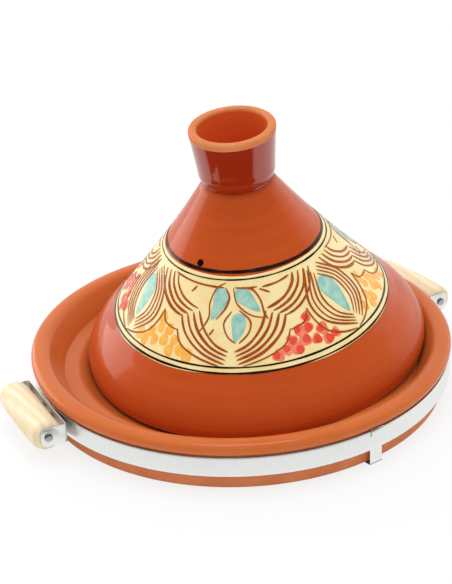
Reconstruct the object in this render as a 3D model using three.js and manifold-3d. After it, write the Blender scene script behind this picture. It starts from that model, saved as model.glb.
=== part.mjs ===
// A tagine at its real size: a glazed terracotta dish with a conical lid, the dish held in a
// galvanised steel carrier that has two turned wooden grips. Millimetres, +Z up. The origin is on
// the table under the middle of the dish, and the grips stand towards +X and -X, set a little back.

import * as THREE from 'three';
import { mergeVertices } from 'three/addons/utils/BufferGeometryUtils.js';
import Module from 'manifold-3d';

const wasm = await Module();
wasm.setup();

// Gap between pieces that seat on each other, and around a shank in its hole.
const seatGap = 0.3;

// Steel strip of the hoop, the strap and the brackets.
const sheet = 0.8;

// Dish: overall size, rim, inner wall, ledge for the lid, and bowl.
const rimRadius = 161.8;
const dishHeight = 39;
const rimHeight = 9;
const rimWidth = 14.8;
const rimOverhang = 3.2;
const rimInnerDrop = 3;
const rimInnerCurl = 2;
const wallTaper = 3;
const baseRound = 2.5;
const ledgeDepth = 17;
const innerWallRun = 10;
const ledgeWidth = 11;
const ledgeRound = 2.8;
const bowlRun = 29;
const bowlLipRun = 3.6;
const bowlCurveRun = 14.5;
const floorThickness = 7;

// Lid: foot, rounded shoulder, cone and wall. The inside lies lower than the outside at the shoulder
// and at the top by a share of the wall.
const lidPlay = 5.5;
const lidWall = 8;
const footRound = 1.5;
const footHeight = 7;
const shoulderInset = 19.5;
const shoulderHeight = 34;
const shoulderCurlInset = 3.2;
const shoulderCurlHeight = 20;
const coneTopRadius = 27.5;
const coneTopHeight = 143;
const coneHollow = 3.5;
const insideShoulderDrop = 0.25;
const insideTopDrop = 0.5;

// Knob cup on top of the lid.
const neckRadius = 25;
const neckGroove = 4;
const neckSlope = 1.2;
const cupFootRadius = 26.5;
const cupFootRise = 9;
const cupFootCurl = 3;
const cupLowRadius = 29.2;
const cupRimRadius = 32.6;
const cupHeight = 42;
const cupWall = 6.4;
const cupLipRound = 2.6;
const cupFloorRadius = 21;
const cupFloorRound = 5.5;
const cupDepth = 36;

// Steam hole through the cone.
const steamRadius = 2.75;
const steamHeight = 102;
const steamAzimuth = 203;

// How the lid lies in the dish: one edge down in the bowl, the other up on the rim. The lean is
// found between level and the steepest by halving.
const lidShift = 21;
const lidLeanAzimuth = 203;
const lidRestGap = 0.5;
const steepestLean = 30;
const leanHalvings = 40;

// Carrier: hoop with a riveted lap, strap under the dish with hooked ends.
const hoopHeight = 15.6;
const lapAzimuth = 50;
const lapLength = 26;
const lapJoggle = 9;
const lapRivetSpacing = 9;
const strapWidth = 11;
const strapAzimuth = 95;
const strapTab = 5;
const strapBend = 2;

// Handles: place behind the X axis in degrees, bent bracket, wooden grip and its nails.
const handleSetBack = 5.5;
const gripLength = 72;
const gripRadius = 12.4;
const gripSwell = 0.6;
const gripEndRound = 5;
const gripPlay = 0.5;
const gripStandoff = 1.5;
const earHeight = 15;
const earOverlap = 6;
const earRound = 5;
const nailRadius = 1.5;
const nailHeadRadius = 3.2;
const nailHeadHeight = 1.3;
const nailDepth = 20;
const nailPoint = 3;

// Rivets of the brackets and of the hoop's lap.
const rivetRadius = 1.6;
const rivetHeadRadius = 2.9;
const rivetHeadHeight = 0.7;
const rivetTailRadius = 2.6;
const bracketRivetSpacing = 16;

// Length of the cutters that make the holes.
const drillLength = 16;

// Facets of the round pieces.
const roundSteps = 56;
const hoopSteps = 96;
const smallSteps = 12;
const curveSteps = 4;

// Radii and heights that follow from the sizes above.
const wallRadius = rimRadius - rimOverhang;
const baseRadius = wallRadius - wallTaper;
const rimInnerRadius = rimRadius - rimWidth;
const ledgeOuterRadius = rimInnerRadius - innerWallRun;
const ledgeInnerRadius = ledgeOuterRadius - ledgeWidth;
const floorRadius = ledgeInnerRadius - bowlRun;
const dishBase = sheet + seatGap;
const crest = dishBase + dishHeight;
const rimUnder = crest - rimHeight;
const ledge = crest - ledgeDepth;
const dishFloor = dishBase + floorThickness;
const lidRadius = ledgeOuterRadius - lidPlay;
const cupBase = coneTopHeight + neckGroove;
const cupTop = cupBase + cupHeight;
const cupFloor = cupTop - cupDepth;
const hoopRadius = wallRadius + seatGap + sheet + seatGap;
const hoopTop = rimUnder - seatGap - sheet - seatGap;
const hoopBottom = hoopTop - hoopHeight;
const hoopMiddle = (hoopTop + hoopBottom) / 2;
const lapOffset = sheet + seatGap;
const plateX = hoopRadius + sheet + seatGap;
const gripX = plateX + sheet + gripStandoff + gripRadius;
const earEnd = gripX + earOverlap;
const earInside = gripLength / 2 + gripPlay;
const earOutside = earInside + sheet;
const rightAzimuth = handleSetBack;
const leftAzimuth = 180 - handleSetBack;

const glaze = new THREE.MeshStandardMaterial({ color: 0xb4461f, roughness: 0.25, metalness: 0 });
const clay = new THREE.MeshStandardMaterial({ color: 0xc2531f, roughness: 0.4, metalness: 0 });
const zinc = new THREE.MeshStandardMaterial({ color: 0xdfe2df, roughness: 0.4, metalness: 0.9 });
const steel = new THREE.MeshStandardMaterial({ color: 0xa9adb0, roughness: 0.35, metalness: 1 });
const beech = new THREE.MeshStandardMaterial({ color: 0xf3dcb2, roughness: 0.7, metalness: 0 });

// Keep positions only, join the vertices that coincide and drop triangles with no area.
function closed(geometry) {
  geometry.deleteAttribute('normal');
  geometry.deleteAttribute('uv');
  const merged = mergeVertices(geometry, 1e-4);
  const corners = merged.index.array;
  const kept = [];
  for (let i = 0; i < corners.length; i += 3) {
    const [a, b, c] = [corners[i], corners[i + 1], corners[i + 2]];
    if (a !== b && b !== c && c !== a) {
      kept.push(a, b, c);
    }
  }
  merged.setIndex(kept);
  return merged;
}

function solid(geometry) {
  return new wasm.Manifold(new wasm.Mesh({
    numProp: 3,
    vertProperties: new Float32Array(geometry.attributes.position.array),
    triVerts: new Uint32Array(geometry.index.array),
  }));
}

function geometryOf(manifold) {
  const mesh = manifold.getMesh();
  const geometry = new THREE.BufferGeometry();
  geometry.setAttribute('position', new THREE.BufferAttribute(mesh.vertProperties, 3));
  geometry.setIndex(new THREE.BufferAttribute(mesh.triVerts, 1));
  return geometry;
}

function cut(geometry, tools) {
  let body = solid(geometry);
  for (const tool of tools) {
    body = body.subtract(solid(tool));
  }
  return geometryOf(body);
}

function join(geometries) {
  let body = solid(geometries[0]);
  for (const geometry of geometries.slice(1)) {
    body = body.add(solid(geometry));
  }
  return geometryOf(body);
}

function piece(name, geometry, material) {
  geometry.computeVertexNormals();
  const mesh = new THREE.Mesh(geometry, material);
  mesh.name = name;
  return mesh;
}

// Turn a profile of (radius, height) points, which starts and ends on the axis, about Z.
function turned(points, steps) {
  const geometry = new THREE.LatheGeometry(points, steps);
  geometry.rotateX(Math.PI / 2);
  return closed(geometry);
}

// A flat outline in X and Y, raised from one height to another.
function raised(shape, bottom, top) {
  const geometry = new THREE.ExtrudeGeometry(shape, {
    depth: top - bottom,
    bevelEnabled: false,
    curveSegments: curveSteps,
  });
  geometry.translate(0, 0, bottom);
  return closed(geometry);
}

// A round cutter along X, centred at (x, y, z).
function drillX(radius, length, x, y, z) {
  const geometry = new THREE.CylinderGeometry(radius, radius, length, smallSteps);
  geometry.rotateZ(Math.PI / 2);
  geometry.translate(x, y, z);
  return closed(geometry);
}

function radians(degrees) {
  return THREE.MathUtils.degToRad(degrees);
}

// The dish's rim and inside, from its outermost edge to the middle of the floor.
function dishInside() {
  const crestRadius = rimRadius - rimWidth / 2;
  const path = new THREE.Path();
  path.moveTo(rimRadius, rimUnder + rimHeight / 2);
  path.quadraticCurveTo(rimRadius, crest, crestRadius, crest);
  path.quadraticCurveTo(rimInnerRadius + rimInnerCurl, crest, rimInnerRadius, crest - rimInnerDrop);
  path.lineTo(ledgeOuterRadius, ledge);
  path.lineTo(ledgeInnerRadius + ledgeRound, ledge);
  path.quadraticCurveTo(ledgeInnerRadius, ledge, ledgeInnerRadius - bowlLipRun, ledge - ledgeRound);
  path.quadraticCurveTo(floorRadius + bowlCurveRun, dishFloor, floorRadius, dishFloor);
  path.lineTo(0, dishFloor);
  return path.getPoints(curveSteps);
}

function dishOutside() {
  const path = new THREE.Path();
  path.moveTo(0, dishBase);
  path.lineTo(baseRadius - baseRound, dishBase);
  path.quadraticCurveTo(baseRadius, dishBase, baseRadius, dishBase + baseRound);
  path.lineTo(wallRadius, rimUnder);
  path.quadraticCurveTo(rimRadius, rimUnder, rimRadius, rimUnder + rimHeight / 2);
  return path.getPoints(curveSteps);
}

function baseDish() {
  const profile = [...dishOutside().slice(0, -1), ...dishInside()];
  return piece('base_dish', turned(profile, roundSteps), clay);
}

// Outside of the lid from its foot to the neck, moved inwards by a wall for the inside.
function lidSide(inset) {
  const foot = lidRadius - inset;
  const shoulder = lidRadius - shoulderInset - inset;
  const shoulderDrop = inset * insideShoulderDrop;
  const shoulderZ = shoulderHeight - shoulderDrop;
  const topRadius = coneTopRadius - inset;
  const topZ = coneTopHeight - inset * insideTopDrop;
  const path = new THREE.Path();
  path.moveTo(foot - footRound * Math.sign(lidWall - 2 * inset), 0);
  path.lineTo(foot, footRound);
  path.lineTo(foot, footHeight);
  path.quadraticCurveTo(foot - shoulderCurlInset, shoulderCurlHeight - shoulderDrop, shoulder, shoulderZ);
  path.quadraticCurveTo(
    (shoulder + topRadius) / 2 - coneHollow,
    (shoulderZ + topZ) / 2 - coneHollow,
    topRadius,
    topZ,
  );
  return path.getPoints(curveSteps);
}

function cupProfile() {
  const cupInnerRadius = cupRimRadius - cupWall;
  const path = new THREE.Path();
  path.moveTo(neckRadius, coneTopHeight + neckSlope);
  path.lineTo(neckRadius, cupBase - neckSlope);
  path.lineTo(cupFootRadius, cupBase);
  path.quadraticCurveTo(cupLowRadius, cupBase + cupFootCurl, cupLowRadius, cupBase + cupFootRise);
  path.lineTo(cupRimRadius, cupTop - cupLipRound);
  path.quadraticCurveTo(cupRimRadius, cupTop, cupRimRadius - cupLipRound, cupTop);
  path.lineTo(cupInnerRadius + cupLipRound, cupTop);
  path.quadraticCurveTo(cupInnerRadius, cupTop, cupInnerRadius, cupTop - cupLipRound);
  path.lineTo(cupFloorRadius, cupFloor + cupFloorRound);
  path.quadraticCurveTo(cupFloorRadius, cupFloor, cupFloorRadius - cupFloorRound, cupFloor);
  path.lineTo(0, cupFloor);
  return path.getPoints(curveSteps);
}

// The lean and height at which the lid's foot meets the bowl and the rim together.
function lidRest() {
  const inside = dishInside();
  const footRadii = [lidRadius, lidRadius - footRound, lidRadius - lidWall + footRound, lidRadius - lidWall];
  const footHeights = [footRound, 0, 0, footRound];

  function dishAt(radius) {
    for (let i = 1; i < inside.length; i += 1) {
      const [outer, inner] = [inside[i - 1], inside[i]];
      if (radius <= outer.x && radius >= inner.x) {
        const share = (outer.x - radius) / (outer.x - inner.x || 1);
        return THREE.MathUtils.lerp(outer.y, inner.y, share);
      }
    }
    return 0;
  }

  // The most that the dish stands above a lid at height zero, over one half of its foot.
  function reach(lean, sign) {
    let most = -Infinity;
    for (let step = 0; step <= roundSteps; step += 1) {
      const angle = Math.PI * (step / roundSteps - 0.5);
      footRadii.forEach((radius, i) => {
        const along = sign * radius * Math.cos(angle);
        const across = radius * Math.sin(angle);
        const x = along * Math.cos(lean) + footHeights[i] * Math.sin(lean) - lidShift;
        const z = footHeights[i] * Math.cos(lean) - along * Math.sin(lean);
        most = Math.max(most, dishAt(Math.hypot(x, across)) - z);
      });
    }
    return most;
  }

  let [low, high] = [0, radians(steepestLean)];
  for (let round = 0; round < leanHalvings; round += 1) {
    const middle = (low + high) / 2;
    if (reach(middle, 1) > reach(middle, -1)) {
      high = middle;
    } else {
      low = middle;
    }
  }
  return { lean: low, height: reach(low, -1) + lidRestGap };
}

function steamDrill() {
  const geometry = new THREE.CylinderGeometry(steamRadius, steamRadius, drillLength + lidWall, smallSteps);
  const slope = Math.atan2(coneTopHeight - shoulderHeight, lidRadius - shoulderInset - coneTopRadius);
  const share = (coneTopHeight - steamHeight) / (coneTopHeight - shoulderHeight);
  const radius = THREE.MathUtils.lerp(coneTopRadius, lidRadius - shoulderInset, share);
  geometry.rotateZ(-slope);
  geometry.translate(radius - lidWall / 2, 0, 0);
  geometry.rotateX(Math.PI / 2);
  geometry.translate(0, 0, steamHeight);
  geometry.rotateZ(radians(steamAzimuth));
  return closed(geometry);
}

function lid() {
  const underside = new THREE.Vector2(0, cupFloor - lidWall);
  const profile = [underside, ...lidSide(lidWall).reverse(), ...lidSide(0), ...cupProfile()];
  const mesh = piece('lid', cut(turned(profile, roundSteps), [steamDrill()]), glaze);
  const rest = lidRest();
  const towards = radians(lidLeanAzimuth);
  mesh.quaternion.setFromAxisAngle(new THREE.Vector3(-Math.sin(towards), Math.cos(towards), 0), rest.lean);
  mesh.position.set(-lidShift * Math.cos(towards), -lidShift * Math.sin(towards), rest.height);
  return mesh;
}

// The hoop is one strip, bent round until its end laps over its start.
function hoopOutline() {
  const lapAngle = lapLength / hoopRadius;
  const joggleAngle = lapJoggle / hoopRadius;
  const start = radians(lapAzimuth) - lapAngle / 2;
  const turn = 2 * Math.PI;
  const angles = [];
  for (let step = 0; step < hoopSteps; step += 1) {
    const angle = (turn - joggleAngle) * (step / hoopSteps);
    angles.push(angle);
  }
  angles.push(turn - joggleAngle, turn, turn + lapAngle / 2, turn + lapAngle);
  const offset = (angle) => lapOffset * THREE.MathUtils.clamp((angle - turn) / joggleAngle + 1, 0, 1);
  const side = (radius) => angles.map((angle) => {
    const reach = radius + offset(angle);
    return new THREE.Vector2(reach * Math.cos(start + angle), reach * Math.sin(start + angle));
  });
  return [...side(hoopRadius + sheet), ...side(hoopRadius).reverse()];
}

function hoopBand() {
  const holeRadius = rivetRadius + seatGap;
  const drills = [];
  for (const azimuth of [rightAzimuth, leftAzimuth]) {
    for (const y of [-bracketRivetSpacing / 2, bracketRivetSpacing / 2]) {
      const drill = drillX(holeRadius, drillLength, hoopRadius, y, hoopMiddle);
      drill.rotateZ(radians(azimuth));
      drills.push(drill);
    }
  }
  for (const rise of [-lapRivetSpacing / 2, lapRivetSpacing / 2]) {
    const drill = drillX(holeRadius, drillLength, hoopRadius, 0, hoopMiddle + rise);
    drill.rotateZ(radians(lapAzimuth));
    drills.push(drill);
  }
  const strip = raised(new THREE.Shape(hoopOutline()), hoopBottom, hoopTop);
  return piece('hoop_band', cut(strip, drills), zinc);
}

// The strap runs under the dish, up behind the hoop and over its top edge at both ends.
function underStrap() {
  const inner = wallRadius + seatGap;
  const outer = inner + sheet;
  const hookTop = hoopTop + seatGap + sheet;
  const tabInner = hoopRadius + sheet + seatGap;
  const half = [
    [outer - strapBend, 0],
    [outer, strapBend],
    [outer, hoopTop + seatGap],
    [tabInner, hoopTop + seatGap],
    [tabInner, hoopTop - strapTab],
    [tabInner + sheet, hoopTop - strapTab],
    [tabInner + sheet, hookTop],
    [inner, hookTop],
    [inner, strapBend],
    [inner - (strapBend - sheet), sheet],
  ];
  const right = half.map(([x, z]) => new THREE.Vector2(x, z));
  const left = half.map(([x, z]) => new THREE.Vector2(-x, z)).reverse();
  const strip = raised(new THREE.Shape([...right, ...left]), -strapWidth / 2, strapWidth / 2);
  strip.rotateX(Math.PI / 2);
  const mesh = piece('under_strap', strip, zinc);
  mesh.rotation.z = radians(strapAzimuth);
  return mesh;
}

// A rivet along X: a domed head at headX and a flattened tail between tailInner and tailOuter.
function rivet(name, tailInner, tailOuter, headX) {
  const headTop = headX + rivetHeadHeight;
  const path = new THREE.Path();
  path.moveTo(0, tailInner);
  path.lineTo(rivetTailRadius, tailInner);
  path.lineTo(rivetTailRadius, tailOuter);
  path.lineTo(rivetRadius, tailOuter);
  path.lineTo(rivetRadius, headX);
  path.lineTo(rivetHeadRadius, headX);
  path.quadraticCurveTo(rivetHeadRadius, headTop, 0, headTop);
  const geometry = turned(path.getPoints(curveSteps), smallSteps);
  geometry.rotateY(Math.PI / 2);
  return piece(name, geometry, steel);
}

// Where a tail fits between the dish and a hoop that curve past it, at y from the middle.
function tailRoom(y) {
  const near = Math.max(0, y - rivetTailRadius);
  return {
    inner: Math.sqrt(wallRadius ** 2 - near ** 2) + seatGap,
    outer: Math.sqrt(hoopRadius ** 2 - (y + rivetTailRadius) ** 2) - seatGap,
  };
}

function lapRivets() {
  const group = new THREE.Group();
  const room = tailRoom(0);
  const headX = hoopRadius + lapOffset + sheet + seatGap;
  for (const [name, rise] of [['lower', -lapRivetSpacing / 2], ['upper', lapRivetSpacing / 2]]) {
    const mesh = rivet(`hoop_rivet_${name}`, room.inner, room.outer, headX);
    mesh.position.z = hoopMiddle + rise;
    group.add(mesh);
  }
  group.rotation.z = radians(lapAzimuth);
  return group;
}

// One ear of a bracket, standing out along X from the back plate, with its nail hole.
function ear(side) {
  const outline = new THREE.Shape();
  outline.moveTo(plateX, -earHeight / 2);
  outline.lineTo(earEnd - earRound, -earHeight / 2);
  outline.quadraticCurveTo(earEnd, -earHeight / 2, earEnd, -earHeight / 2 + earRound);
  outline.lineTo(earEnd, earHeight / 2 - earRound);
  outline.quadraticCurveTo(earEnd, earHeight / 2, earEnd - earRound, earHeight / 2);
  outline.lineTo(plateX, earHeight / 2);
  const hole = new THREE.Path();
  hole.absarc(gripX, 0, nailRadius + seatGap, 0, 2 * Math.PI, true);
  outline.holes.push(hole);
  const near = side > 0 ? -earOutside : earInside;
  const geometry = raised(outline, near, near + sheet);
  geometry.rotateX(Math.PI / 2);
  return geometry;
}

function bracket(name) {
  const plate = new THREE.Shape();
  plate.moveTo(plateX, -earOutside);
  plate.lineTo(plateX + sheet, -earOutside);
  plate.lineTo(plateX + sheet, earOutside);
  plate.lineTo(plateX, earOutside);
  const strip = join([raised(plate, -earHeight / 2, earHeight / 2), ear(-1), ear(1)]);
  const drills = [-1, 1].map((side) => (
    drillX(rivetRadius + seatGap, drillLength, plateX, side * bracketRivetSpacing / 2, 0)
  ));
  return piece(name, cut(strip, drills), zinc);
}

function grip(name) {
  const half = gripLength / 2;
  const bore = nailRadius + seatGap;
  const boreEnd = half - nailDepth - seatGap;
  const endRadius = gripRadius - gripSwell;
  const path = new THREE.Path();
  path.moveTo(0, -boreEnd);
  path.lineTo(bore, -boreEnd);
  path.lineTo(bore, -half);
  path.lineTo(endRadius - gripEndRound, -half);
  path.quadraticCurveTo(endRadius, -half, endRadius, gripEndRound - half);
  path.quadraticCurveTo(gripRadius + gripSwell, 0, endRadius, half - gripEndRound);
  path.quadraticCurveTo(endRadius, half, endRadius - gripEndRound, half);
  path.lineTo(bore, half);
  path.lineTo(bore, boreEnd);
  path.lineTo(0, boreEnd);
  const geometry = turned(path.getPoints(curveSteps), 2 * smallSteps);
  geometry.rotateX(-Math.PI / 2);
  return piece(name, geometry, beech);
}

// A nail along Y, its head outside the ear and its shank in the end of the grip.
function nail(name, side) {
  const point = gripLength / 2 - nailDepth;
  const head = earOutside + seatGap;
  const headTop = head + nailHeadHeight;
  const path = new THREE.Path();
  path.moveTo(0, point);
  path.lineTo(nailRadius, point + nailPoint);
  path.lineTo(nailRadius, head);
  path.lineTo(nailHeadRadius, head);
  path.quadraticCurveTo(nailHeadRadius, headTop, 0, headTop);
  const geometry = turned(path.getPoints(curveSteps), smallSteps);
  geometry.rotateX(-side * Math.PI / 2);
  return piece(name, geometry, steel);
}

// One handle, built on the +X side and turned about Z to its own side, which puts the left one's +Y end in front.
function handle(name, azimuth) {
  const group = new THREE.Group();
  group.add(bracket(`bracket_${name}`));
  const room = tailRoom(bracketRivetSpacing / 2);
  const frontSide = azimuth > 90 ? 1 : -1;
  for (const [end, side] of [['front', frontSide], ['rear', -frontSide]]) {
    const fastener = rivet(`bracket_rivet_${name}_${end}`, room.inner, room.outer, plateX + sheet + seatGap);
    fastener.position.y = side * bracketRivetSpacing / 2;
    group.add(fastener);
    const pin = nail(`nail_${name}_${end}`, side);
    pin.position.x = gripX;
    group.add(pin);
  }
  const wood = grip(`grip_${name}`);
  wood.position.x = gripX;
  group.add(wood);
  group.position.z = hoopMiddle;
  group.rotation.z = radians(azimuth);
  return group;
}

const tagine = new THREE.Group();
tagine.name = 'tagine';
tagine.add(baseDish(), lid(), hoopBand(), underStrap(), lapRivets());
tagine.add(handle('right', rightAzimuth), handle('left', leftAzimuth));

export default tagine;
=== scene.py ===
import bisect
import math
import random

import bpy
from mathutils import Matrix, Vector


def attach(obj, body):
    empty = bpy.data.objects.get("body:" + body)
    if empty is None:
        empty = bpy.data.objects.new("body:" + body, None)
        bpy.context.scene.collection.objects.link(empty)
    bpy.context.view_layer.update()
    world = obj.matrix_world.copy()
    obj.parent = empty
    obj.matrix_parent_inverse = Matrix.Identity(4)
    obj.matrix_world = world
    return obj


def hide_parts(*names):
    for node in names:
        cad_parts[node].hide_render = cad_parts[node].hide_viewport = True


# A glazed terracotta tagine with a painted lid, in a galvanised carrier with wooden grips.
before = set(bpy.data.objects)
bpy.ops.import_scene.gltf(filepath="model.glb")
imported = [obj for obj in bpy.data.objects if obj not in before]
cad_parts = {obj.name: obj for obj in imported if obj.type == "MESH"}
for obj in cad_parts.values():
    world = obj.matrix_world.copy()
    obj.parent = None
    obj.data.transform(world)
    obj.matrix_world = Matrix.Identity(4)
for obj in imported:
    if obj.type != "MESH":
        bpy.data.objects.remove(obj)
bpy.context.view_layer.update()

# Sizes are in millimetres and angles in degrees unless a name says otherwise.
MM = 0.001
SEAT_GAP = 0.3
SHEET = 0.8

# Dish, turned.
RIM_RADIUS = 161.8
RIM_WIDTH = 14.8
RIM_HEIGHT = 9.0
RIM_OVERHANG = 3.2
RIM_INNER_DROP = 3.0
RIM_INNER_CURL = 2.0
WALL_TAPER = 3.0
BASE_ROUND = 2.5
DISH_BASE = SHEET + SEAT_GAP
DISH_HEIGHT = 39.0
LEDGE_DEPTH = 17.0
INNER_WALL_RUN = 10.0
LEDGE_WIDTH = 11.0
LEDGE_ROUND = 2.8
BOWL_RUN = 29.0
BOWL_LIP_RUN = 3.6
BOWL_CURVE_RUN = 14.5
FLOOR_THICKNESS = 7.0
BARE_EDGE = 1.5
CREST = DISH_BASE + DISH_HEIGHT
RIM_UNDER = CREST - RIM_HEIGHT
WALL_RADIUS = RIM_RADIUS - RIM_OVERHANG
BASE_RADIUS = WALL_RADIUS - WALL_TAPER
RIM_INNER_RADIUS = RIM_RADIUS - RIM_WIDTH
LEDGE_OUTER = RIM_INNER_RADIUS - INNER_WALL_RUN
LEDGE_INNER = LEDGE_OUTER - LEDGE_WIDTH
LEDGE = CREST - LEDGE_DEPTH
DISH_FLOOR = DISH_BASE + FLOOR_THICKNESS
FLOOR_RADIUS = LEDGE_INNER - BOWL_RUN

# Lid, turned, in its own frame with its foot at height 0. Its inside lies lower than its outside at
# the shoulder and at the top by a share of the wall.
LID_PLAY = 5.5
LID_RADIUS = LEDGE_OUTER - LID_PLAY
LID_WALL = 8.0
FOOT_ROUND = 1.5
FOOT_HEIGHT = 7.0
SHOULDER_INSET = 19.5
SHOULDER_HEIGHT = 34.0
SHOULDER_CURL_INSET = 3.2
SHOULDER_CURL_HEIGHT = 20.0
CONE_TOP_RADIUS = 27.5
CONE_TOP = 143.0
CONE_HOLLOW = 3.5
INSIDE_SHOULDER_DROP = 0.25
INSIDE_TOP_DROP = 0.5
STEAM_RADIUS = 2.75
STEAM_HEIGHT = 102.0
STEAM_AZIMUTH = 203.0
STEAM_DRILL_LENGTH = 4 * LID_WALL

# Knob cup on the lid.
NECK_RADIUS = 25.0
NECK_GROOVE = 4.0
NECK_SLOPE = 1.2
CUP_FOOT_RADIUS = 26.5
CUP_FOOT_RISE = 9.0
CUP_FOOT_CURL = 3.0
CUP_LOW_RADIUS = 29.2
CUP_RIM_RADIUS = 32.6
CUP_HEIGHT = 42.0
CUP_WALL = 6.4
CUP_LIP_ROUND = 2.6
CUP_FLOOR_RADIUS = 21.0
CUP_FLOOR_ROUND = 5.5
CUP_DEPTH = 36.0
CUP_BARE_LIP = 4.2
CUP_BASE = CONE_TOP + NECK_GROOVE
CUP_TOP = CUP_BASE + CUP_HEIGHT
CUP_FLOOR = CUP_TOP - CUP_DEPTH

# How the lid lies askew in the dish.
LID_PLACE = (19.33, 8.21, 26.81)
LID_LEAN = 6.07
LID_LEAN_AZIMUTH = 203.0

# Painted band: each ring's radius on the lid, its width, the sway of its width, and its phase.
RINGS = [
    (58.9, 2.0, 0.3, 2.1),
    (62.1, 1.3, 0.2, 4.4),
    (103.0, 1.5, 0.12, 0.7),
    (105.6, 1.6, 0.15, 3.3),
]
CREAM_TOP_RADIUS = 59.9
CREAM_LOW_RADIUS = 106.4
CREAM_TOP_DIP = 1.2
MEDALLION_AZIMUTH = 229.0
REPEATS = 3
REPEAT_TURN = 360.0 / REPEATS
PETAL_TURN = REPEAT_TURN / 2
MEDALLION_TURNS = [MEDALLION_AZIMUTH + repeat * REPEAT_TURN for repeat in range(REPEATS)]

# How far each coat of paint stands off the lid, and how thick the coats are.
CREAM_LIFT = 0.07
DAB_LIFT = 0.15
DAB_LAYER = 0.008
LEAF_LIFT = 0.17
CORE_LIFT = 0.27
RING_LIFT = 0.28
LINE_LIFT = 0.38
CREAM_COAT = 0.14
RING_COAT = 0.06
LINE_COAT = 0.05
WASH_COAT = 0.04

# Dabs: half their size round the lid and down its side, and how much they vary and stray.
YELLOW_DAB = (3.9, 4.8)
RED_DAB = (4.4, 4.6)
RED_CORE = (2.9, 3.1)
DAB_SWELL = (0.85, 1.15)
DAB_UNEVEN = (0.05, 0.14)
DAB_STRAY = 0.8
DAB_STRAY_RADIANS = 0.012

# Brush strokes: how full they are, how they taper, the sway of a line's width, and the share of a path
# over which its course is read.
LINE_FULLNESS = 1.25
LINE_TAPER = 0.4
LINE_SWAY = 0.12
LINE_SWAY_RATE = (6, 11)
LEAF_BLUNTNESS = 0.7
LEAF_TAPER = 0.8
PATH_NUDGE = 0.01

# Widths of the brown lines, from the finest to the broadest of each kind.
LOBE_LINE_WIDTH = (1.5, 2.2)
PETAL_LINE_WIDTH = (1.3, 1.9)
FINE_LINE_WIDTH = (1.1, 1.5)

# Clay and glaze colours: in the turning rings, the pale and deep ends of their clouding, and the grit.
LID_CLAY = "#CA5923"
LID_PALE = "#C4511F"
LID_DEEP = "#B84819"
# The cup's outside is darker than the cone, partly for its thicker glaze and partly as painted shade.
CUP_CLAY = "#A8300E"
CUP_PALE = "#A12B0C"
CUP_DEEP = "#962609"
# The cup's inside is lighter than the cone as painted light, for the light that falls into the cup.
CUP_INSIDE_CLAY = "#E0652F"
CUP_INSIDE_PALE = "#DC5E2A"
CUP_INSIDE_DEEP = "#D05424"
DISH_CLAY = "#D87940"
DISH_PALE = "#D16D33"
DISH_DEEP = "#C4602A"
BARE_PALE = "#E08A58"
BARE_DEEP = "#CC7444"
LIP_PALE = "#DE8A55"
LIP_DEEP = "#CE7340"
# The steam hole's wall is painted near black as painted shade in the hole.
HOLE_SHADE_PALE = "#4A1A0C"
HOLE_SHADE_DEEP = "#2E0F07"
GLAZE_SPECK = "#5E2411"

# Paints: the colour where the brush ran dry, the colour where it was loaded, and the size of its marks.
CREAM_SLIP = ("#F9E7B0", "#F4DA98", 16)
IRON_BROWN = ("#B4561F", "#964310", 3)
MANGANESE_BLACK = ("#2E2119", "#120D0A", 5)
COPPER_TEAL = ("#B6D8C4", "#7DBDB4", 6)
OCHRE_YELLOW = ("#FAC466", "#F5A83C", 4)
IRON_RED = ("#F4957A", "#EE6A50", 4)
POOLED_RED = ("#EC5A44", "#E2402E", 3)

# Steel and wood colours.
ZINC_DULL = "#E6E8E5"
ZINC_BRIGHT = "#F2F3F1"
STEEL_DARK = "#8A8D8E"
STEEL_BRIGHT = "#C9CCCC"
WOOD_PALE = "#F4E5C6"
WOOD_GROWTH = "#ECD6AC"
WOOD_PORE = "#DDBD8C"

# Sizes of what shows in the surfaces. A wave texture repeats at 0.31 of its size, so the wood's growth
# lines lie 7 mm apart. The turning rings' value round the pot is a count in a metre.
GLAZE_CLOUD_SIZE = 45
GLAZE_GRIT_SIZE = 1.6
TURNING_RING_SIZE = 4
TURNING_RING_ROUND = 6
CLAY_BLOOM_SIZE = 22
CLAY_GRIT_SIZE = 0.9
ZINC_MARK_WIDTH = 1.2
ZINC_MARK_LENGTH = 9
STEEL_MARK_SIZE = 1.2
GROWTH_WAVE_SIZE = 22
PORE_WIDTH = 1.3
PORE_LENGTH = 22
PITH_OUT = 26
PITH_HEIGHT = 45

# Carrier.
HOOP_RADIUS = WALL_RADIUS + SEAT_GAP + SHEET + SEAT_GAP
HOOP_HEIGHT = 15.6
HOOP_TOP = RIM_UNDER - SEAT_GAP - SHEET - SEAT_GAP
HOOP_MIDDLE = HOOP_TOP - HOOP_HEIGHT / 2
LAP_AZIMUTH = 50.0
LAP_LENGTH = 26.0
LAP_JOGGLE = 9.0
LAP_OFFSET = SHEET + SEAT_GAP
LAP_RIVET_SPACING = 9.0
STRAP_WIDTH = 11.0
STRAP_AZIMUTH = 95.0
STRAP_TAB = 5.0
STRAP_BEND = 0.9
STRAP_RADIUS = WALL_RADIUS + SEAT_GAP + SHEET / 2
STRAP_HOOK = HOOP_TOP + SEAT_GAP + SHEET / 2
PLATE_X = HOOP_RADIUS + SHEET + SEAT_GAP
TAB_RADIUS = PLATE_X + SHEET / 2
SHEET_EDGE = 0.2

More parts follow.
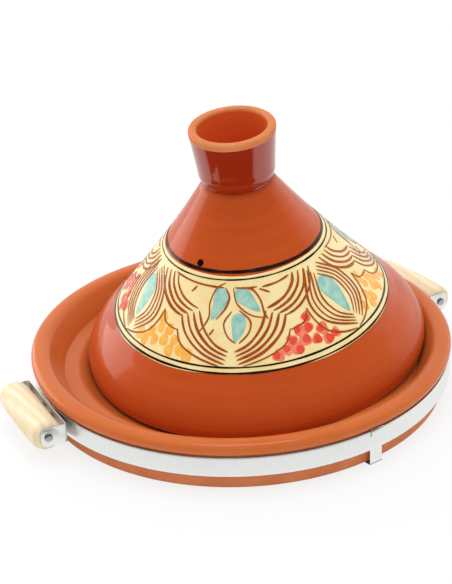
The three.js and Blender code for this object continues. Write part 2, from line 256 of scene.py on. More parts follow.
# Handles, each set back a little behind the X axis.
HANDLE_SET_BACK = 5.5
GRIP_LENGTH = 72.0
GRIP_RADIUS = 12.4
GRIP_SWELL = 0.6
GRIP_END_ROUND = 5.0
GRIP_PLAY = 0.5
GRIP_STANDOFF = 1.5
GRIP_X = PLATE_X + SHEET + GRIP_STANDOFF + GRIP_RADIUS
GRIP_CENTRE = (GRIP_X, 0, HOOP_MIDDLE)
EAR_PAST_GRIP = 6.0
EAR_END = GRIP_X + EAR_PAST_GRIP
EAR_HEIGHT = 15.0
EAR_ROUND = 5.0
EAR_BEND = 1.2
EAR_INSIDE = GRIP_LENGTH / 2 + GRIP_PLAY
EAR_DRILL_LENGTH = 3 * EAR_INSIDE
NAIL_RADIUS = 1.5
NAIL_HEAD_RADIUS = 3.2
NAIL_HEAD_HEIGHT = 1.3
NAIL_DEPTH = 20.0
NAIL_POINT = 3.0
BORE_EDGE = 0.4
RIVET_RADIUS = 1.6
RIVET_HEAD_RADIUS = 2.9
RIVET_HEAD_HEIGHT = 0.7
HEAD_EDGE = 0.25
BRACKET_RIVET_SPACING = 16.0

# How finely things are turned, bent and laid, the angle past which an edge stays sharp, and the reach
# within which points are merged or picked.
TURN_STEPS = 192
GRIP_TURN_STEPS = 64
SMALL_TURN_STEPS = 40
HOOP_STEPS = 320
HOOP_ROWS = 8
CREAM_ROWS = 30
BEND_STEPS = 12
STRIP_BEND_STEPS = 5
EAR_ROUND_STEPS = 6
EDGE_STEPS = 2
SHARP_ANGLE = 35
PAINT_SHARP_ANGLE = 60
STRIP_SHARP_ANGLE = 60
MERGE = 0.004
PICK = 0.1

# Camera, fitted to the edges of the dish, then moved half a millimetre to its left so that the left grip
# is whole in the picture. Its right, up and distance are along its own axes.
VIEW_AZIMUTH = -30.6
VIEW_ELEVATION = 27.3
VIEW_ROLL = -2.8
VIEW_DISTANCE = 1500.0
VIEW_RIGHT = -12.8
VIEW_UP = 68.8
VIEW_LENS = 118.2
VIEW_FAR_METRES = 50

# Studio, in metres: each soft box's place to the right, away and up, its width, height and watts.
SOFT_BOXES = [
    ("right_soft_box", (1.25, 0.75, 0.45), 1.2, 0.8, 1.5),
    ("left_soft_box", (-1.15, 0.85, 0.5), 1.2, 0.8, 8),
    ("overhead_soft_box", (0.0, 0.1, 2.0), 0.9, 0.9, 11),
]
SOFT_BOX_AIM = 0.1

# Floor, in metres, and the share of it that glows white to the camera. The rest takes the shadow.
FLOOR_SIZE = 16
FLOOR_DROP = 0.0001
FLOOR_GLOW = 0.8
PAPER = "#F2F2F2"
WHITE = "#FFFFFF"

# Black flag on the floor, in metres: the normal of its edge, the edge's distance from the middle, the
# distance up to which a surface still reflects white paper there, and the softness of both.
BLACK_FLAG_NORMAL = (0.272, 0.962, 0.0)
BLACK_FLAG_EDGE = -0.1
BLACK_FLAG_REACH = 0.1
BLACK_FLAG_BLUR = 0.03

# Room: the cosines between which it darkens towards the camera in reflections, its level there, and the
# level at which it lights the object.
ROOM_FALL_START = -0.6
ROOM_FALL_END = 0.1
ROOM_DIM = 0.08
ROOM_LEVEL = 0.85

# Clear glaze over the clay and the paint, thickest on the cup.
THIN_COAT = {"Coat Weight": 0.45, "Coat Roughness": 0.1, "Coat IOR": 1.38}
CUP_COAT = {"Coat Weight": 1.0, "Coat Roughness": 0.05, "Coat IOR": 1.7}
UNDER_COAT_SPECULAR = 0.05

hand = random.Random(7)


def linear(hexcode):
    """The linear colour of an sRGB hex value such as #B4461F."""
    channels = []
    for start in (1, 3, 5):
        value = int(hexcode[start:start + 2], 16) / 255
        if value <= 0.04045:
            channels.append(value / 12.92)
        else:
            channels.append(((value + 0.055) / 1.055) ** 2.4)
    return (*channels, 1.0)


def lid_pose():
    """Where the lid's own frame lies in the dish."""
    towards = math.radians(LID_LEAN_AZIMUTH)
    axis = Vector((-math.sin(towards), math.cos(towards), 0))
    lean = Matrix.Rotation(math.radians(LID_LEAN), 4, axis)
    return Matrix.Translation(Vector(LID_PLACE) * MM) @ lean


# Modelling helpers.
class Pen:
    """Draws a profile of (radius, height) points."""

    def __init__(self, radius, height):
        self.points = [Vector((radius, height))]

    def line(self, radius, height, steps=1):
        start = self.points[-1]
        end = Vector((radius, height))
        for step in range(1, steps + 1):
            self.points.append(start.lerp(end, step / steps))

    def bend(self, control_radius, control_height, radius, height, steps=BEND_STEPS):
        start = self.points[-1]
        control = Vector((control_radius, control_height))
        end = Vector((radius, height))
        for step in range(1, steps + 1):
            share = step / steps
            self.points.append(start.lerp(control, share).lerp(control.lerp(end, share), share))


def choose(piece):
    """Make a piece the only one that is selected, and the active one."""
    bpy.ops.object.select_all(action="DESELECT")
    piece.select_set(True)
    bpy.context.view_layer.objects.active = piece


def edit(piece):
    choose(piece)
    bpy.ops.object.mode_set(mode="EDIT")
    bpy.ops.mesh.select_all(action="SELECT")


def leave_edit():
    bpy.ops.object.mode_set(mode="OBJECT")


def point_piece(name, place):
    """A new piece that is one vertex, in edit mode, ready to be extruded."""
    bpy.ops.object.select_all(action="DESELECT")
    bpy.ops.mesh.primitive_plane_add(size=MM)
    piece = bpy.context.object
    piece.name = name
    edit(piece)
    bpy.ops.mesh.merge(type="CENTER")
    bpy.ops.transform.translate(value=Vector(place) * MM)
    return piece


def draw(name, places):
    """A line of vertices through the places, drawn by extruding the last one each time."""
    piece = point_piece(name, places[0])
    for before, after in zip(places, places[1:]):
        step = (Vector(after) - Vector(before)) * MM
        bpy.ops.mesh.extrude_vertices_move(TRANSFORM_OT_translate={"value": step})
    bpy.ops.mesh.select_all(action="SELECT")
    return piece


def turned(name, points, steps=TURN_STEPS, centre=(0, 0, 0), axis=(0, 0, 1)):
    """A profile of (radius, height) points spun about an axis through the centre into a closed body."""
    along = Vector(axis)
    out = Vector((1, 0, 0)) if along.x == 0 else Vector((0, 0, 1))
    places = [Vector(centre) + out * point.x + along * point.y for point in points]
    piece = draw(name, places)
    bpy.ops.mesh.spin(steps=steps, angle=2 * math.pi, center=Vector(centre) * MM, axis=axis)
    bpy.ops.mesh.select_all(action="SELECT")
    bpy.ops.mesh.remove_doubles(threshold=MERGE * MM)
    bpy.ops.mesh.normals_make_consistent(inside=False)
    leave_edit()
    return piece


def finish_with(piece, kind, **settings):
    """Add a modifier and apply it."""
    choose(piece)
    modifier = piece.modifiers.new(kind.title(), kind)
    for name, value in settings.items():
        setattr(modifier, name, value)
    bpy.ops.object.modifier_apply(modifier=modifier.name)


def drill(piece, radius, length, place, turn):
    """Cut a round hole through a piece."""
    bpy.ops.object.select_all(action="DESELECT")
    bpy.ops.mesh.primitive_cylinder_add(
        vertices=SMALL_TURN_STEPS, radius=radius * MM, depth=length * MM,
        location=Vector(place) * MM, rotation=turn)
    rod = bpy.context.object
    finish_with(piece, "BOOLEAN", object=rod, operation="DIFFERENCE", solver="EXACT")
    bpy.data.objects.remove(rod)


def smooth(piece, angle=SHARP_ANGLE):
    choose(piece)
    bpy.ops.object.shade_smooth_by_angle(angle=math.radians(angle))


def place_in_mesh(piece, pose):
    """Move a piece to its place and put that place into its mesh."""
    choose(piece)
    piece.matrix_world = pose
    bpy.ops.object.transform_apply(location=True, rotation=True, scale=True)


def turn_to(piece, azimuth):
    """Turn a piece that is made on the X axis to its place round the dish."""
    place_in_mesh(piece, Matrix.Rotation(math.radians(azimuth), 4, "Z"))


def joined(name, pieces):
    bpy.ops.object.select_all(action="DESELECT")
    for piece in pieces:
        piece.select_set(True)
    bpy.context.view_layer.objects.active = pieces[0]
    if len(pieces) > 1:
        bpy.ops.object.join()
    pieces[0].name = name
    return pieces[0]


def settle(piece, body, materials, replaced=()):
    """Give a finished piece its materials and tie it to the frame."""
    for material in materials:
        piece.data.materials.append(material)
    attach(piece, body)
    if replaced:
        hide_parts(*replaced)


# Material helpers.
def add(tree, kind, inputs=None, **settings):
    """Add a node with its settings; an input takes a value or another node's output."""
    node = tree.nodes.new("ShaderNode" + kind)
    for name, value in settings.items():
        setattr(node, name, value)
    for socket, value in (inputs or {}).items():
        if isinstance(value, bpy.types.NodeSocket):
            tree.links.new(value, node.inputs[socket])
        else:
            node.inputs[socket].default_value = value
    return node


def new_material(name):
    material = bpy.data.materials.new(name)
    material.use_nodes = True
    material.node_tree.nodes.clear()
    return material, material.node_tree


def surface(tree, shader):
    add(tree, "OutputMaterial", {"Surface": shader.outputs["BSDF"]})


def per_metre(size_mm):
    """A texture scale whose features are about this size."""
    return 1 / (size_mm * MM)


def object_coordinates(tree):
    return add(tree, "TexCoord").outputs["Object"]


def lid_coordinates(tree):
    """Object coordinates turned and moved to the lid's own frame."""
    pose = lid_pose()
    return add(tree, "Mapping", {
        "Vector": object_coordinates(tree),
        "Location": pose.translation,
        "Rotation": pose.to_euler(),
    }, vector_type="TEXTURE").outputs["Vector"]


def glazed_clay(name, vector_of, clay, pale, deep, coat=THIN_COAT):
    """Lead-clear glaze on thrown red earthenware: a wet gloss, faint turning rings and cloudy colour."""
    material, tree = new_material(name)
    vector = vector_of(tree)
    clouds = add(tree, "TexNoise", {"Vector": vector, "Scale": per_metre(GLAZE_CLOUD_SIZE), "Detail": 4.0})
    ring_scale = (TURNING_RING_ROUND, TURNING_RING_ROUND, per_metre(TURNING_RING_SIZE))
    rings_vector = add(tree, "Mapping", {"Vector": vector, "Scale": ring_scale})
    rings = add(tree, "TexNoise", {"Vector": rings_vector.outputs["Vector"], "Scale": 1.0, "Detail": 3.0})
    grit = add(tree, "TexNoise", {"Vector": vector, "Scale": per_metre(GLAZE_GRIT_SIZE), "Detail": 2.0})
    cloudy = add(tree, "MixRGB", {
        "Fac": clouds.outputs["Fac"], "Color1": linear(deep), "Color2": linear(pale)})
    ringed_share = add(tree, "MapRange", {
        "Value": rings.outputs["Fac"], "From Min": 0.35, "From Max": 0.75, "To Min": 0.0, "To Max": 0.45})
    ringed = add(tree, "MixRGB", {
        "Fac": ringed_share.outputs["Result"], "Color1": cloudy.outputs["Color"], "Color2": linear(clay)})
    speck_share = add(tree, "MapRange", {
        "Value": grit.outputs["Fac"], "From Min": 0.66, "From Max": 0.76, "To Min": 0.0, "To Max": 0.35})
    colour = add(tree, "MixRGB", {
        "Fac": speck_share.outputs["Result"], "Color1": ringed.outputs["Color"],
        "Color2": linear(GLAZE_SPECK)})
    gloss = add(tree, "MapRange", {
        "Value": clouds.outputs["Fac"], "From Min": 0.3, "From Max": 0.7, "To Min": 0.26, "To Max": 0.4})
    ring_relief = add(tree, "Bump", {
        "Height": rings.outputs["Fac"], "Strength": 0.05, "Distance": 0.4 * MM})
    relief = add(tree, "Bump", {
        "Height": grit.outputs["Fac"], "Strength": 0.05, "Distance": 0.2 * MM,
        "Normal": ring_relief.outputs["Normal"]})
    shader = add(tree, "BsdfPrincipled", {
        "Base Color": colour.outputs["Color"], "Roughness": gloss.outputs["Result"], "IOR": 1.5,
        "Specular IOR Level": UNDER_COAT_SPECULAR, "Normal": relief.outputs["Normal"],
        "Coat Normal": ring_relief.outputs["Normal"], **coat})
    surface(tree, shader)
    return material


def bare_clay(name, pale, deep):
    """Fired terracotta left bare: matt, sandy to the touch, with fine grit and chalky bloom."""
    material, tree = new_material(name)
    vector = object_coordinates(tree)
    bloom = add(tree, "TexNoise", {"Vector": vector, "Scale": per_metre(CLAY_BLOOM_SIZE), "Detail": 5.0})
    grit = add(tree, "TexNoise", {"Vector": vector, "Scale": per_metre(CLAY_GRIT_SIZE), "Detail": 3.0})
    share = add(tree, "Math", {0: bloom.outputs["Fac"], 1: grit.outputs["Fac"]}, operation="MULTIPLY")
    spread = add(tree, "MapRange", {"Value": share.outputs[0], "From Min": 0.12, "From Max": 0.4})
    colour = add(tree, "MixRGB", {
        "Fac": spread.outputs["Result"], "Color1": linear(deep), "Color2": linear(pale)})
    relief = add(tree, "Bump", {"Height": grit.outputs["Fac"], "Strength": 0.25, "Distance": 0.3 * MM})
    shader = add(tree, "BsdfPrincipled", {
        "Base Color": colour.outputs["Color"], "Roughness": 0.8, "IOR": 1.45,
        "Normal": relief.outputs["Normal"]})
    surface(tree, shader)
    return material


def painted(name, thin, thick, patch, island_tone=0.0, pooled=0.0):
    """Mineral paint under clear glaze: brushed tone, thin where the brush ran dry, pooled at its edges."""
    material, tree = new_material(name)
    vector = lid_coordinates(tree)
    brush = add(tree, "TexNoise", {"Vector": vector, "Scale": per_metre(patch), "Detail": 4.0})
    tone = add(tree, "MapRange", {"Value": brush.outputs["Fac"], "From Min": 0.32, "From Max": 0.68})
    share = tone.outputs["Result"]
    if island_tone:
        each = add(tree, "NewGeometry")
        share = add(tree, "MixRGB", {
            "Fac": island_tone, "Color1": share,
            "Color2": each.outputs["Random Per Island"]}).outputs["Color"]
    if pooled:
        patch_place = add(tree, "TexCoord").outputs["UV"]
        middle = add(tree, "VectorMath", {0: patch_place, 1: (0.5, 0.5, 0)}, operation="DISTANCE")
        edge = add(tree, "MapRange", {
            "Value": middle.outputs["Value"], "From Min": 0.2, "From Max": 0.5, "To Max": pooled})
        share = add(tree, "Math", {0: share, 1: edge.outputs["Result"]}, operation="ADD").outputs[0]
    colour = add(tree, "MixRGB", {"Fac": share, "Color1": linear(thin), "Color2": linear(thick)})
    relief = add(tree, "Bump", {"Height": brush.outputs["Fac"], "Strength": 0.05, "Distance": 0.2 * MM})
    shader = add(tree, "BsdfPrincipled", {
        "Base Color": colour.outputs["Color"], "Roughness": 0.35, "IOR": 1.5,
        "Specular IOR Level": UNDER_COAT_SPECULAR, "Normal": relief.outputs["Normal"], **THIN_COAT})
    surface(tree, shader)
    return material


def galvanised_steel():
    """Galvanised strip, rolled and rubbed: pale grey zinc, a soft mirror with fine marks across it."""
    material, tree = new_material("galvanised_steel_strip")
    vector = object_coordinates(tree)
    mark_scale = (per_metre(ZINC_MARK_WIDTH), per_metre(ZINC_MARK_WIDTH), per_metre(ZINC_MARK_LENGTH))
    across = add(tree, "Mapping", {"Vector": vector, "Scale": mark_scale})
    rub = add(tree, "TexNoise", {"Vector": across.outputs["Vector"], "Scale": 1.0, "Detail": 4.0})
    tone = add(tree, "MapRange", {"Value": rub.outputs["Fac"], "From Min": 0.3, "From Max": 0.7})
    colour = add(tree, "MixRGB", {
        "Fac": tone.outputs["Result"], "Color1": linear(ZINC_DULL), "Color2": linear(ZINC_BRIGHT)})
    roughness = add(tree, "MapRange", {
        "Value": rub.outputs["Fac"], "From Min": 0.3, "From Max": 0.7, "To Min": 0.3, "To Max": 0.42})
    relief = add(tree, "Bump", {"Height": rub.outputs["Fac"], "Strength": 0.03, "Distance": 0.2 * MM})
    shader = add(tree, "BsdfPrincipled", {
        "Base Color": colour.outputs["Color"], "Metallic": 1.0, "Roughness": roughness.outputs["Result"],
        "Normal": relief.outputs["Normal"]})
    surface(tree, shader)
    return material


def fastener_steel():
    """Plain drawn steel of nails and rivets: mid grey, dulled, with hammer and handling marks."""
    material, tree = new_material("plain_steel_fastener")
    vector = object_coordinates(tree)
    marks = add(tree, "TexNoise", {"Vector": vector, "Scale": per_metre(STEEL_MARK_SIZE), "Detail": 4.0})
    colour = add(tree, "MixRGB", {
        "Fac": marks.outputs["Fac"], "Color1": linear(STEEL_DARK), "Color2": linear(STEEL_BRIGHT)})
    relief = add(tree, "Bump", {"Height": marks.outputs["Fac"], "Strength": 0.2, "Distance": 0.2 * MM})
    shader = add(tree, "BsdfPrincipled", {
        "Base Color": colour.outputs["Color"], "Metallic": 1.0, "Roughness": 0.38,
        "Normal": relief.outputs["Normal"]})
    surface(tree, shader)
    return material


def pale_wood():
    """Bare turned poplar: cream, straight faint growth lines along the grip and short darker pores."""
    material, tree = new_material("bare_turned_poplar")
    vector = object_coordinates(tree)
    pith_place = ((GRIP_X + PITH_OUT) * MM, 0, PITH_HEIGHT * MM)
    pith = add(tree, "Mapping", {"Vector": vector, "Location": pith_place}, vector_type="TEXTURE")
    growth = add(tree, "TexWave", {
        "Vector": pith.outputs["Vector"], "Scale": per_metre(GROWTH_WAVE_SIZE), "Distortion": 2.2,
        "Detail": 2.0, "Detail Scale": 1.2}, wave_type="RINGS", rings_direction="Y")
    pore_scale = (per_metre(PORE_WIDTH), per_metre(PORE_LENGTH), per_metre(PORE_WIDTH))
    along = add(tree, "Mapping", {"Vector": vector, "Scale": pore_scale})
    pores = add(tree, "TexNoise", {"Vector": along.outputs["Vector"], "Scale": 1.0, "Detail": 3.0})
    cream = add(tree, "MixRGB", {
        "Fac": growth.outputs["Fac"], "Color1": linear(WOOD_PALE), "Color2": linear(WOOD_GROWTH)})
    pore_share = add(tree, "MapRange", {
        "Value": pores.outputs["Fac"], "From Min": 0.55, "From Max": 0.8, "To Max": 0.45})
    colour = add(tree, "MixRGB", {
        "Fac": pore_share.outputs["Result"], "Color1": cream.outputs["Color"],
        "Color2": linear(WOOD_PORE)})
    relief = add(tree, "Bump", {"Height": pores.outputs["Fac"], "Strength": 0.25, "Distance": 0.25 * MM})
    shader = add(tree, "BsdfPrincipled", {
        "Base Color": colour.outputs["Color"], "Roughness": 0.62, "IOR": 1.5,
        "Normal": relief.outputs["Normal"]})
    surface(tree, shader)
    return material


# Dish.
def dish_profile():
    pen = Pen(0, DISH_BASE)
    pen.line(BASE_RADIUS - BASE_ROUND, DISH_BASE, steps=6)
    pen.bend(BASE_RADIUS, DISH_BASE, BASE_RADIUS, DISH_BASE + BASE_ROUND)
    pen.line(WALL_RADIUS, RIM_UNDER, steps=6)
    pen.bend(RIM_RADIUS, RIM_UNDER, RIM_RADIUS, RIM_UNDER + RIM_HEIGHT / 2)
    pen.bend(RIM_RADIUS, CREST, RIM_RADIUS - RIM_WIDTH / 2, CREST)
    pen.bend(RIM_INNER_RADIUS + RIM_INNER_CURL, CREST, RIM_INNER_RADIUS, CREST - RIM_INNER_DROP)
    pen.line(LEDGE_OUTER, LEDGE, steps=8)
    pen.line(LEDGE_INNER + LEDGE_ROUND, LEDGE, steps=4)
    pen.bend(LEDGE_INNER, LEDGE, LEDGE_INNER - BOWL_LIP_RUN, LEDGE - LEDGE_ROUND)
    pen.bend(FLOOR_RADIUS + BOWL_CURVE_RUN, DISH_FLOOR, FLOOR_RADIUS, DISH_FLOOR)
    pen.line(0, DISH_FLOOR, steps=20)
    return pen.points


def mark_faces(piece, finishes, regions):
    """Give each region's finish to the faces that its test on their middle and normal chooses."""
    order = list(finishes)
    for finish, chosen in regions.items():
        for face in piece.data.polygons:
            if chosen(face.center / MM, face.normal):
                face.material_index = order.index(finish)


def make_dish():
    """Glazed inside and on the rim, bare clay below the rim and underneath."""
    finishes = {
        "glazed": glazed_clay(
            "glazed_red_earthenware_dish", object_coordinates, DISH_CLAY, DISH_PALE, DISH_DEEP),
        "bare": bare_clay("bare_terracotta_dish", BARE_PALE, BARE_DEEP),
    }
    dish = turned("dish_shell", dish_profile())

    def is_bare(middle, normal):
        outside = middle.xy.length > BASE_RADIUS - BASE_ROUND or normal.z < 0
        return outside and middle.z < RIM_UNDER + BARE_EDGE

    mark_faces(dish, finishes, {"bare": is_bare})
    smooth(dish)
    settle(dish, "dish", finishes.values(), ["base_dish"])


# Lid.
def lid_side(inset):
    """One side of the lid's wall, from its foot to the neck."""
    foot = LID_RADIUS - inset
    shoulder = LID_RADIUS - SHOULDER_INSET - inset
    drop = inset * INSIDE_SHOULDER_DROP
    shoulder_height = SHOULDER_HEIGHT - drop
    top_radius = CONE_TOP_RADIUS - inset
    top = CONE_TOP - inset * INSIDE_TOP_DROP
    inwards = 1 if inset == 0 else -1
    pen = Pen(foot - inwards * FOOT_ROUND, 0)
    pen.bend(foot, 0, foot, FOOT_ROUND, steps=5)
    pen.line(foot, FOOT_HEIGHT, steps=2)
    pen.bend(foot - SHOULDER_CURL_INSET, SHOULDER_CURL_HEIGHT - drop, shoulder, shoulder_height, steps=24)
    pen.bend((shoulder + top_radius) / 2 - CONE_HOLLOW, (shoulder_height + top) / 2 - CONE_HOLLOW,
             top_radius, top, steps=40)
    return pen.points


def knob_profile():
    inner_radius = CUP_RIM_RADIUS - CUP_WALL
    pen = Pen(NECK_RADIUS, CONE_TOP + NECK_SLOPE)
    pen.line(NECK_RADIUS, CUP_BASE - NECK_SLOPE)
    pen.line(CUP_FOOT_RADIUS, CUP_BASE, steps=3)
    pen.bend(CUP_LOW_RADIUS, CUP_BASE + CUP_FOOT_CURL, CUP_LOW_RADIUS, CUP_BASE + CUP_FOOT_RISE)
    pen.line(CUP_RIM_RADIUS, CUP_TOP - CUP_LIP_ROUND, steps=12)
    pen.bend(CUP_RIM_RADIUS, CUP_TOP, CUP_RIM_RADIUS - CUP_LIP_ROUND, CUP_TOP, steps=8)
    pen.line(inner_radius + CUP_LIP_ROUND, CUP_TOP, steps=2)
    pen.bend(inner_radius, CUP_TOP, inner_radius, CUP_TOP - CUP_LIP_ROUND, steps=8)
    pen.line(CUP_FLOOR_RADIUS, CUP_FLOOR + CUP_FLOOR_ROUND, steps=10)
    pen.bend(CUP_FLOOR_RADIUS, CUP_FLOOR, CUP_FLOOR_RADIUS - CUP_FLOOR_ROUND, CUP_FLOOR, steps=8)
    pen.line(0, CUP_FLOOR, steps=5)
    return pen.points


# The lid's outside from the neck down, and how far down it each of its points lies.
DOWN_THE_SIDE = lid_side(0)[::-1]
SLANTS = [0.0]
for upper, lower in zip(DOWN_THE_SIDE, DOWN_THE_SIDE[1:]):
    SLANTS.append(SLANTS[-1] + (upper - lower).length)


def lid_at_height(height):
    """The outside's radius at a height on the cone, and its normal's lean from upright."""
    for upper, lower in zip(DOWN_THE_SIDE, DOWN_THE_SIDE[1:]):
        if lower.y <= height <= upper.y:
            share = (upper.y - height) / (upper.y - lower.y)
            fall = (upper.y - lower.y) / (lower.x - upper.x)
            return upper.lerp(lower, share).x, math.atan(fall)
    raise ValueError("height is not on the cone")


def steam_axis():
    """The middle of the steam hole and its direction, square to the cone."""
    azimuth = math.radians(STEAM_AZIMUTH)
    radius, lean = lid_at_height(STEAM_HEIGHT)
    out = Vector((math.cos(azimuth), math.sin(azimuth), 0))
    up = Vector((0, 0, 1))
    direction = out * math.sin(lean) + up * math.cos(lean)
    on_cone = out * radius + up * STEAM_HEIGHT
    return on_cone - direction * LID_WALL / 2, direction


def slant_at(radius):
    """How far down the outside, from the neck, the lid has this radius."""
    for index in range(1, len(DOWN_THE_SIDE)):
        upper, lower = DOWN_THE_SIDE[index - 1], DOWN_THE_SIDE[index]
        if upper.x <= radius <= lower.x:
            share = (radius - upper.x) / (lower.x - upper.x)
            return SLANTS[index - 1] + share * (SLANTS[index] - SLANTS[index - 1])
    raise ValueError("radius is not on the lid")


def outline_at(slant):
    """The outside's point at a slant from the neck, and the number of the stretch that it lies on."""
    index = min(max(bisect.bisect_right(SLANTS, slant), 1), len(SLANTS) - 1)
    share = (slant - SLANTS[index - 1]) / (SLANTS[index] - SLANTS[index - 1])
    return DOWN_THE_SIDE[index - 1].lerp(DOWN_THE_SIDE[index], share), index


def on_lid(angle, slant, lift):
    """A point on the lid's outside: angle in radians, slant from the neck, lifted off the surface."""
    place, index = outline_at(slant)
    fall = DOWN_THE_SIDE[index] - DOWN_THE_SIDE[index - 1]
    normal = Vector((-fall.y, fall.x)).normalized()
    radius = place.x + normal.x * lift
    height = place.y + normal.y * lift
    return Vector((radius * math.cos(angle), radius * math.sin(angle), height)) * MM


def lid_finishes():
    """Glaze on the cone and in the cup, deep on the cup's outside, partly where it ran thick and partly as
    painted shade, and lighter inside the cup as painted light; bare clay on the lip and under the lid; the
    steam hole's wall painted near black as painted shade."""
    return {
        "cone": glazed_clay(
            "glazed_red_earthenware_lid", lid_coordinates, LID_CLAY, LID_PALE, LID_DEEP),
        # Cup outside: thick glaze, darkened partly as painted shade.
        "cup": glazed_clay(
            "thick_glazed_cup_and_painted_shade", lid_coordinates, CUP_CLAY, CUP_PALE, CUP_DEEP, CUP_COAT),
        "lip": bare_clay("wiped_terracotta_lip", LIP_PALE, LIP_DEEP),
        "underside": bare_clay("bare_terracotta_lid", BARE_PALE, BARE_DEEP),
        # Cup inside: lightened as painted light.
        "cup_inside": glazed_clay(
            "cup_inside_painted_light", lid_coordinates,
            CUP_INSIDE_CLAY, CUP_INSIDE_PALE, CUP_INSIDE_DEEP),
        # Steam hole: painted shade on its wall.
        "steam_hole": bare_clay("steam_hole_painted_shade", HOLE_SHADE_PALE, HOLE_SHADE_DEEP),
    }


def make_lid():
    underside = Vector((0, CUP_FLOOR - LID_WALL))
    profile = [underside] + lid_side(LID_WALL)[::-1] + lid_side(0) + knob_profile()
    lid = turned("lid_shell", profile)
    steam_place, steam_way = steam_axis()
    steam_turn = Vector((0, 0, 1)).rotation_difference(steam_way).to_euler()
    drill(lid, STEAM_RADIUS, STEAM_DRILL_LENGTH, steam_place, steam_turn)

    def outwards(middle, normal):
        return normal.xy.dot(middle.xy) > 0

    # Faces on the cup's outside, which get its darker glaze, partly painted shade.
    def on_cup(middle, normal):
        return middle.z > CONE_TOP + NECK_SLOPE and outwards(middle, normal)

    # Faces inside the cup, which get its painted light.
    def in_cup(middle, normal):
        return middle.z > CUP_FLOOR - LID_WALL / 2 and not outwards(middle, normal)

    def on_lip(middle, normal):
        return middle.z > CUP_TOP - (CUP_BARE_LIP if outwards(middle, normal) else CUP_LIP_ROUND)

    def under_lid(middle, normal):
        return middle.z < CONE_TOP and (normal.z < 0 or not outwards(middle, normal))

    # Faces of the steam hole's wall, which get its painted shade.
    def in_steam_hole(middle, normal):
        from_axis = (middle - steam_place).cross(steam_way).length
        faces_across = abs(normal.dot(steam_way)) < 0.5
        return from_axis < STEAM_RADIUS and faces_across

    finishes = lid_finishes()
    mark_faces(lid, finishes, {
        "cup": on_cup,
        "cup_inside": in_cup,
        "underside": under_lid,
        "steam_hole": in_steam_hole,
        "lip": on_lip,
    })
    smooth(lid)
    place_in_mesh(lid, lid_pose())
    settle(lid, "lid", finishes.values(), ["lid"])


# Painted band.
def laid(columns, rows, place):
    """A grid patch whose corners are laid where place(along, across) says, both from 0 to 1."""
    bpy.ops.object.select_all(action="DESELECT")
    bpy.ops.mesh.primitive_grid_add(x_subdivisions=columns, y_subdivisions=rows, size=1)
    patch = bpy.context.object
    for vertex in patch.data.vertices:
        vertex.co = place(vertex.co.x + 0.5, vertex.co.y + 0.5)
    return patch


def through(points, share):
    """A point on a smooth curve through the points."""
    last = len(points) - 1
    index = min(int(share * last), last - 1)
    local = share * last - index
    before = points[max(index - 1, 0)]
    start = points[index]
    end = points[index + 1]
    after = points[min(index + 2, last)]
    return (start * 2 + (end - before) * local + (before * 2 - start * 5 + end * 4 - after) * local ** 2
            + (start * 3 - before - end * 3 + after) * local ** 3) / 2


def lid_path(points, turn, side=1):
    """Pattern points of (degrees from the motif's middle, radius) as (angle, slant) on the lid."""
    path = []
    for degrees, radius in points:
        path.append(Vector((math.radians(turn + side * degrees), slant_at(radius))))
    return path


def brushed(path, width_at, lift, columns, rows):
    """A patch of paint along a path, with its width at each share of the path."""
    def place(along, across):
        middle = through(path, along)
        ahead = through(path, min(along + PATH_NUDGE, 1)) - through(path, max(along - PATH_NUDGE, 0))
        radius = outline_at(middle.y)[0].x
        course = Vector((ahead.x * radius, ahead.y)).normalized()
        half = width_at(min(max(along, PATH_NUDGE), 1 - PATH_NUDGE)) * (across - 0.5)
        return on_lid(middle.x - course.y * half / radius, middle.y + course.x * half, lift)

    return laid(columns, rows, place)


def stroke(path, width):
    """A line of a fine brush: nearly even, with tapered ends and a slight sway in its width."""
    phase = hand.uniform(0, 2 * math.pi)
    rate = hand.uniform(*LINE_SWAY_RATE)

    def width_at(along):
        swell = min(1.0, LINE_FULLNESS * math.sin(math.pi * along) ** LINE_TAPER)
        return width * swell * (1 + LINE_SWAY * math.sin(rate * along + phase))

    return brushed(path, width_at, LINE_LIFT, columns=22, rows=1)


def leaf(path, width):
    """A leaf of one loaded brush stroke: blunt where it starts and pointed where it ends."""
    def width_at(along):
        return width * math.sin(math.pi * along ** LEAF_BLUNTNESS) ** LEAF_TAPER

    return brushed(path, width_at, LEAF_LIFT, columns=24, rows=6)


def dab(angle, slant, across_size, along_size, lift):
    """A round dab of a loaded brush, a little out of round."""
    radius = outline_at(slant)[0].x
    phase = hand.uniform(0, 2 * math.pi)
    uneven = hand.uniform(*DAB_UNEVEN)

    def place(along, across):
        flat_x = 2 * along - 1
        flat_y = 2 * across - 1
        round_x = flat_x * math.sqrt(1 - flat_y ** 2 / 2)
        round_y = flat_y * math.sqrt(1 - flat_x ** 2 / 2)
        bulge = 1 + uneven * math.sin(3 * math.atan2(round_y, round_x) + phase)
        return on_lid(
            angle + round_x * across_size * bulge / radius, slant + round_y * along_size * bulge, lift)

    return laid(columns=7, rows=7, place=place)


def waves(angle, parts):
    """The sum of waves round the lid, each given by its size, its count and its phase."""
    return sum(size * math.sin(count * angle + phase) for size, count, phase in parts)


def ring(radius, width, sway, phase):
    """A ring brushed on the turning lid, its edges wandering."""
    slant = slant_at(radius)

    def place(along, across):
        angle = 2 * math.pi * along
        wander = waves(angle, [(0.25, 1, phase), (0.15, 3, 2 * phase)])
        swell = 1 + waves(angle, [(sway, 1, 1.7 * phase), (0.12, 7, phase), (0.1, 19, 3 * phase)])
        return on_lid(angle, slant + wander + width * swell * (across - 0.5), RING_LIFT)

    return laid(TURN_STEPS, 1, place)


